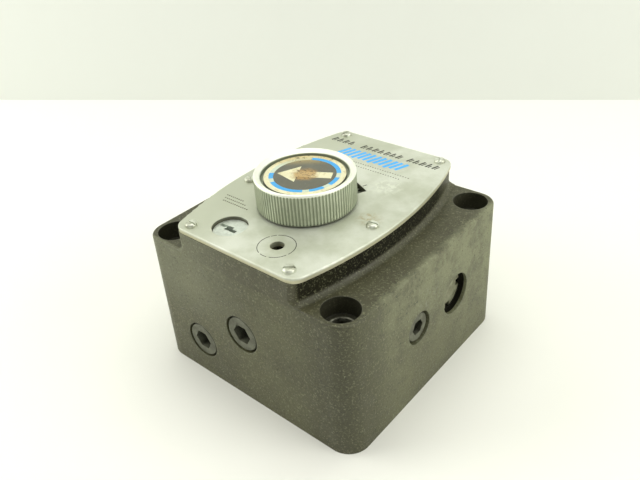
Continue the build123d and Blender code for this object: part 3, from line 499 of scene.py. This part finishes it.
dress(["valve_body"], castIron())
dress(["cover_plate"], coverMetal())
dress(["dial_knob"], knobMetal())
dress(["dial_face"], printed("dialGround", rgb(92, 92, 80), rgb(120, 120, 106), 0.1, 0.3))
dress(["scale_ring"], machined("ringMetal", rgb(166, 172, 156), rgb(120, 126, 108), 0.6, 0.4))
dress(["lock_barrel"], machined("lockPlating", rgb(222, 228, 220), rgb(200, 207, 197), 0.7, 0.24, 700,
                                (1, 8, 1)))
dress(["lock_housing", "check_seat"], machined("turnedBrass", rgb(206, 184, 120), rgb(160, 136, 82)))
dress(["cover_screws"], machined("screwZinc", rgb(226, 230, 218), rgb(176, 178, 160), 0.8, 0.25))
dress(["check_plug", "gallery_plug", "control_plug", "outlet_plug", "spring_plug"],
      machined("plugSteel", rgb(108, 110, 94), rgb(80, 81, 66), 0.35, 0.42, wear=0.8, shadedSockets=True))
dress(["compensator_plug"], machined("endPlugZinc", rgb(154, 156, 132), rgb(122, 122, 98), 0.35, 0.5))
dress(["throttle_spring", "compensator_spring", "check_spring"],
      machined("springWire", rgb(150, 150, 146), rgb(104, 104, 100), 0.9, 0.28))
dress([n for n in nodes if n.endswith("_seal") or n in ("port_seals", "sleeve_seals")], sealRubber())
dress(["knob_washer", "knob_screw", "dial_shaft", "ring_stop_pin", "fixed_stop_pin", "shaft_gland",
       "thrust_washer", "throttle_sleeve", "guide_pin", "throttle_spool", "compensator_spool",
       "check_poppet", "lock_bolt", "lock_clip"],
      machined("groundSteel", rgb(192, 192, 186), rgb(150, 150, 144), 0.9, 0.24))
print("finishes done")


def addMesh(name, verts, faces, material, body, slot):
    data = bpy.data.meshes.new(name)
    data.from_pydata([tuple(v) for v in verts], [], [tuple(f) for f in faces])
    data.materials.append(material)
    data.update()
    piece = bpy.data.objects.new(name, data)
    bpy.context.scene.collection.objects.link(piece)
    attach(piece, body)
    return piece


def carried(path, sideways, half, low, high, closed):
    # A flat strip: the rectangle from low to high and half to each side is carried along the path.
    # Row i of the grid is path point i plus sideways times (-half, half, half, -half), at low or high.
    count = len(path)
    across = np.array([-half, half, half, -half])
    heights = np.array([low, low, high, high])
    xy = path[:, None, :] + sideways[:, None, :] * across[None, :, None]
    z = np.broadcast_to(heights, (count, 4))[..., None]
    verts = np.concatenate([xy, z], axis=2).reshape(-1, 3)
    rows = np.arange(count if closed else count - 1)
    i, j = [a.ravel() for a in np.meshgrid(rows, np.arange(4), indexing="ij")]
    nxt, up = (i + 1) % count, (j + 1) % 4
    faces = np.stack([i * 4 + j, nxt * 4 + j, nxt * 4 + up, i * 4 + up], axis=1)
    if not closed:
        last = (count - 1) * 4
        faces = np.vstack([faces, [0, 1, 2, 3], [last + 3, last + 2, last + 1, last]])
    return verts, faces


def arcStrip(centre, inner, outer, start, end, low, high, gap=4):
    # A ring or part of one: the strip follows a circle between two angles in degrees
    closed = abs(end - start) >= 360
    count = max(3, int(abs(end - start) / gap) + 1)
    angles = np.radians(np.linspace(start, end, count, endpoint=not closed))
    out = np.stack([np.cos(angles), np.sin(angles)], axis=1)
    path = np.asarray(centre) + out * (inner + outer) / 2
    return carried(path, -out, (outer - inner) / 2, low, high, closed)


def barStrip(start, end, width, low, high):
    # A straight bar between two points
    path = np.array([start, end], float)
    along = (path[1] - path[0]) / np.linalg.norm(path[1] - path[0])
    left = np.array([-along[1], along[0]])
    return carried(path, np.stack([left, left]), width / 2, low, high, False)


def slab(outline, low, high):
    # A flat plate: the outline, counter-clockwise, at low and at high, joined by a wall
    outline = np.asarray(outline, float)
    count = len(outline)
    verts = np.vstack([np.column_stack([outline, np.full(count, h)]) for h in (low, high)])
    i = np.arange(count)
    nxt = (i + 1) % count
    wall = np.stack([i, nxt, nxt + count, i + count], axis=1)
    return verts, [list(i[::-1]), list(i + count)] + wall.tolist()


def gather(parts):
    # several meshes as one, each with its faces counted on from the ones before
    verts, faces, count = [], [], 0
    for v, f in parts:
        verts.append(v)
        faces += [[int(k) + count for k in face] for face in f]
        count += len(v)
    return np.vstack(verts), faces


def slanted(x, y, height, width, lean, low, high):
    # one leaning stroke standing on y
    foot = np.array([x, y])
    top = foot + np.array([height * math.tan(lean), height])
    return barStrip(foot, top, width, low, high)


inks = {
    "black": printed("blackInk", rgb(46, 46, 38), rgb(120, 122, 104), 0.08, 0.45, False),
    "fine": printed("fineInk", rgb(98, 98, 80), rgb(160, 164, 142), 0.16, 0.45, False),
    "blue": printed("blueInk", rgb(64, 168, 240), rgb(150, 200, 225), 0.06, 0.4, False),
    "dialBlue": printed("dialBlue", rgb(62, 160, 226), rgb(120, 180, 206), 0.08, 0.35, False),
    "dialCream": printed("dialCream", rgb(222, 218, 184), rgb(190, 180, 132), 0.18, 0.4),
    "dialPale": printed("dialPale", rgb(196, 208, 190), rgb(170, 184, 160), 0.16, 0.4),
}

dialMarks = {
    "thick": 0.03 * mm, "creamOuter": 18.8 * mm, "creamInner": 16.5 * mm, "blueInner": 14.4 * mm,
    "blueArcs": ((-152, -132), (-119, -53), (-42, -17), (-4, 22), (38, 118)),   # degrees
    "pointer": {"tip": -152, "reach": 12.9, "head": 9.6, "halfHead": 7.4, "halfShaft": 2.7, "tail": 12.6},
}


def dialPointer():
    # a plain broad arrow across the dial: its tip, a triangular head and a straight shaft
    p = dialMarks["pointer"]
    outline = np.array([(p["reach"], 0), (p["reach"] - p["head"], p["halfHead"]),
                        (p["reach"] - p["head"], p["halfShaft"]), (-p["tail"], p["halfShaft"]),
                        (-p["tail"], -p["halfShaft"]), (p["reach"] - p["head"], -p["halfShaft"]),
                        (p["reach"] - p["head"], -p["halfHead"])]) * mm
    a = math.radians(p["tip"])
    turn = np.array([[math.cos(a), -math.sin(a)], [math.sin(a), math.cos(a)]])
    return dialAxis + outline @ turn.T


def printDial():
    c = dialMarks
    z, t = dialTop, c["thick"]
    creamRing = arcStrip(dialAxis, c["creamInner"], c["creamOuter"], 0, 360, z, z + t)
    addMesh("dial_ring_print", *creamRing, inks["dialCream"], "dial", "dial_print")
    paleRing = arcStrip(dialAxis, c["blueInner"], c["creamInner"], 0, 360, z, z + t)
    addMesh("dial_pale_print", *paleRing, inks["dialPale"], "dial", "dial_print")
    arcs = [arcStrip(dialAxis, c["blueInner"], c["creamInner"], a, b, z + t, z + 2 * t)
            for a, b in c["blueArcs"]]
    addMesh("dial_blue_print", *gather(arcs), inks["dialBlue"], "dial", "dial_print")
    addMesh("dial_pointer", *slab(dialPointer(), z, z + 2 * t), inks["dialCream"], "dial", "dial_print")


plateMarks = {
    "thick": 0.03 * mm, "lean": 20,                       # degrees
    "titleY": 47.6 * mm, "titleHeight": 4.0 * mm, "titleStroke": 1.05 * mm,
    "titleGroups": ((-33.0, 4), (-13.5, 7), (15.5, 5)), "titlePitch": 3.7 * mm, "titlePair": 1.5 * mm,
    "blueY": 36.0 * mm, "blueHeight": 8.6 * mm, "blueStart": -20.5 * mm, "bluePitch": 3.3 * mm,
    "blueBars": 12, "blueStroke": 1.9 * mm, "blueDrop": 0.8 * mm,
    "dottedRows": ((33.0, -17.5, 26.0), (29.8, -15.0, 24.0)),       # y, start and end, in mm
    "noteRows": ((-27.6, -36.5, -25.5), (-29.9, -35.5, -22.5), (-32.2, -34.5, -18.5)),
    "dots": {"pitch": 1.5 * mm, "length": 0.7 * mm, "width": 0.55 * mm},
    "dashes": {"pitch": 1.3 * mm, "length": 0.8 * mm, "width": 0.7 * mm},
    "holeRing": 8.3 * mm, "holeRingHalf": 0.16 * mm,
    "holeArcs": ((-70, -18), (-12, 128), (132, 150), (154, 250), (258, 282)),     # degrees
    "windowAngle": 64, "lineStart": 28.9 * mm, "lineLength": 2.2 * mm, "lineWidth": 0.5 * mm,
}


def titleStrokes(low, high):
    # leaning strokes in pairs, the second shorter, in groups like words
    c = plateMarks
    lean = math.radians(c["lean"])
    strokes = []
    for start, pairs in c["titleGroups"]:
        for k in range(pairs):
            x = start * mm + k * c["titlePitch"]
            short = c["titleHeight"] * (0.55 if k % 2 else 0.8)
            strokes.append(slanted(x, c["titleY"], c["titleHeight"], c["titleStroke"], lean, low, high))
            strokes.append(slanted(x + c["titlePair"], c["titleY"], short, 0.6 * c["titleStroke"], lean,
                                   low, high))
    return strokes


def blueStripes(low, high):
    # leaning stripes, every third one taller
    c = plateMarks
    stripes = []
    for k in range(c["blueBars"]):
        drop = c["blueDrop"] if k % 3 else 0
        x = c["blueStart"] + k * c["bluePitch"]
        stripes.append(slanted(x, c["blueY"] + drop, c["blueHeight"] - drop, c["blueStroke"],
                               math.radians(c["lean"]), low, high))
    return stripes


def dashRows(rows, dash, low, high):
    # rows of short flat bars along X
    return [barStrip((x, y * mm), (x + dash["length"], y * mm), dash["width"], low, high)
            for y, start, end in rows for x in np.arange(start * mm, end * mm, dash["pitch"])]


def printPlate():
    c = plateMarks
    low, high = plateTop, plateTop + c["thick"]
    metal = "cover_aluminium"
    addMesh("title_strokes", *gather(titleStrokes(low, high)), inks["black"], "housing", metal)
    addMesh("blue_stripes", *gather(blueStripes(low, high)), inks["blue"], "housing", metal)
    dashes = dashRows(c["dottedRows"], c["dots"], low, high)
    dashes += dashRows(c["noteRows"], c["dashes"], low, high)
    addMesh("fine_dashes", *gather(dashes), inks["fine"], "housing", metal)
    arcs = [arcStrip(accessHole, c["holeRing"] - c["holeRingHalf"], c["holeRing"] + c["holeRingHalf"], a, b,
                     low, high) for a, b in c["holeArcs"]]
    addMesh("hole_circle", *gather(arcs), inks["black"], "housing", metal)
    # reading line beside the window
    a = math.radians(c["windowAngle"])
    out = np.array([math.cos(a), math.sin(a)])
    foot = dialAxis + out * c["lineStart"]
    line = barStrip(foot, foot + out * c["lineLength"], c["lineWidth"], low, high)
    addMesh("reading_line", *line, inks["black"], "housing", metal)


scaleMarks = {"thick": 0.03 * mm, "digit": 3.4 * mm, "middle": 24.9 * mm, "turns": 330, "last": 10,
              "tickInner": 27.2 * mm, "tickOuter": 28.6 * mm, "tickWidth": 0.4 * mm}


def digitMesh(text, size):
    # a number as a flat mesh, centred on the origin
    curve = bpy.data.curves.new("digit", "FONT")
    curve.body = text
    curve.size = size
    curve.align_x = "CENTER"
    curve.align_y = "CENTER"
    curve.extrude = scaleMarks["thick"] / 2
    holder = bpy.data.objects.new("digit", curve)
    bpy.context.scene.collection.objects.link(holder)
    bpy.context.view_layer.update()
    ready = holder.evaluated_get(bpy.context.evaluated_depsgraph_get())
    data = bpy.data.meshes.new_from_object(ready)
    verts = np.zeros(len(data.vertices) * 3)
    data.vertices.foreach_get("co", verts)
    faces = [list(p.vertices) for p in data.polygons]
    bpy.data.objects.remove(holder)
    bpy.data.curves.remove(curve)
    bpy.data.meshes.remove(data)
    return verts.reshape(-1, 3), faces


def printScale():
    # numbers 0 to 10 round the ring, read one at a time through the window, and ticks between them
    c = scaleMarks
    window = plateMarks["windowAngle"]
    parts = []
    for k in range(c["last"] + 1):
        a = math.radians(window - k * c["turns"] / c["last"])
        verts, faces = digitMesh(str(k), c["digit"])
        turn = a - math.pi / 2
        spin = np.array([[math.cos(turn), -math.sin(turn)], [math.sin(turn), math.cos(turn)]])
        flat = verts[:, :2] @ spin.T + dialAxis + np.array([math.cos(a), math.sin(a)]) * c["middle"]
        parts.append((np.column_stack([flat, verts[:, 2] + ringTop + c["thick"] / 2]), faces))
        for half in range(2 if k < c["last"] else 1):
            b = math.radians(window - (k + half / 2) * c["turns"] / c["last"])
            out = np.array([math.cos(b), math.sin(b)])
            parts.append(barStrip(dialAxis + out * c["tickInner"], dialAxis + out * c["tickOuter"],
                                  c["tickWidth"], ringTop, ringTop + c["thick"]))
    addMesh("scale_numbers", *gather(parts), inks["black"], "dial", "ring_metal")


printDial()
printPlate()
printScale()
print("marks printed")


room = {
    "floor": rgb(241, 241, 236), "wall": rgb(226, 229, 224), "size": 3.0,
    "wallDistance": 0.3276, "wallTurn": 30.78,              # degrees
    "sky": (1.0, 1.0, 0.93), "skyStrength": 0.49,
    "lights": (
        {"name": "overhead", "place": (-0.05, 0.15, 0.95), "size": 0.9, "power": 5.6},
        {"name": "left", "place": (-0.75, -0.55, 0.50), "size": 0.6, "power": 4.6},
        {"name": "right", "place": (0.90, 0.30, 0.50), "size": 0.6, "power": 4.6},
    ),
    "lightColour": (1.0, 1.0, 0.93), "aim": (0, 0, 0.04),
    "dust": rgb(226, 228, 214), "dustShare": 0.05, "dustSize": 14,
}


def flatSheet(name, corners, colour):
    material, tree, shader = finish(name + "_finish", rough=0.6)
    cloud = noise(tree, place(tree), room["dustSize"], 3, 0.5)
    join(tree, blend(tree, colour, room["dust"], cloud, room["dustShare"]), shader.inputs["Base Color"])
    data = bpy.data.meshes.new(name)
    data.from_pydata(corners, [], [(0, 1, 2, 3)])
    data.materials.append(material)
    sheet = bpy.data.objects.new(name, data)
    bpy.context.scene.collection.objects.link(sheet)
    return sheet


def buildRoom():
    half = room["size"] / 2
    floor = [(-half, -half, 0), (half, -half, 0), (half, half, 0), (-half, half, 0)]
    flatSheet("floor", floor, room["floor"])
    a = math.radians(room["wallTurn"])
    along = Vector((math.cos(a), math.sin(a), 0))
    foot = Vector((-math.sin(a), math.cos(a), 0)) * room["wallDistance"]
    rise = Vector((0, 0, half))
    near, far = foot - along * half, foot + along * half
    flatSheet("backdrop", [near, far, far + rise, near + rise], room["wall"])
    world = bpy.data.worlds.new("studio")
    world.use_nodes = True
    sky = world.node_tree.nodes["Background"]
    sky.inputs["Color"].default_value = (*room["sky"], 1)
    sky.inputs["Strength"].default_value = room["skyStrength"]
    bpy.context.scene.world = world
    for lamp in room["lights"]:
        data = bpy.data.lights.new(lamp["name"], "AREA")
        data.size = lamp["size"]
        data.energy = lamp["power"]
        data.color = room["lightColour"]
        light = bpy.data.objects.new(lamp["name"], data)
        light.location = lamp["place"]
        light.rotation_mode = "QUATERNION"
        aim = Vector(room["aim"]) - Vector(lamp["place"])
        light.rotation_quaternion = aim.to_track_quat("-Z", "Y")
        bpy.context.scene.collection.objects.link(light)
    bpy.context.scene.view_settings.view_transform = "Standard"


cameraPose = {"place": (0.18201, -0.20304, 0.23789), "yaw": 42.491, "pitch": 33.418, "roll": -4.418,
              "lens": 37.024}


def buildCamera():
    # back, right and up directions from the three angles, in degrees
    yaw, pitch, roll = [math.radians(cameraPose[k]) for k in ("yaw", "pitch", "roll")]
    out = math.cos(pitch)
    back = Vector((math.sin(yaw) * out, -math.cos(yaw) * out, math.sin(pitch)))
    level = Vector((math.cos(yaw), math.sin(yaw), 0))
    over = back.cross(level)
    right = level * math.cos(roll) + over * math.sin(roll)
    up = over * math.cos(roll) - level * math.sin(roll)
    data = bpy.data.cameras.new("camera")
    data.lens = cameraPose["lens"]
    data.sensor_width = 36
    data.clip_start = 0.01
    camera = bpy.data.objects.new("camera", data)
    bpy.context.scene.collection.objects.link(camera)
    rotation = Matrix((right, up, back)).transposed().to_4x4()
    camera.matrix_world = Matrix.Translation(cameraPose["place"]) @ rotation
    bpy.context.scene.camera = camera


buildRoom()
buildCamera()
print("room, light and camera ready")
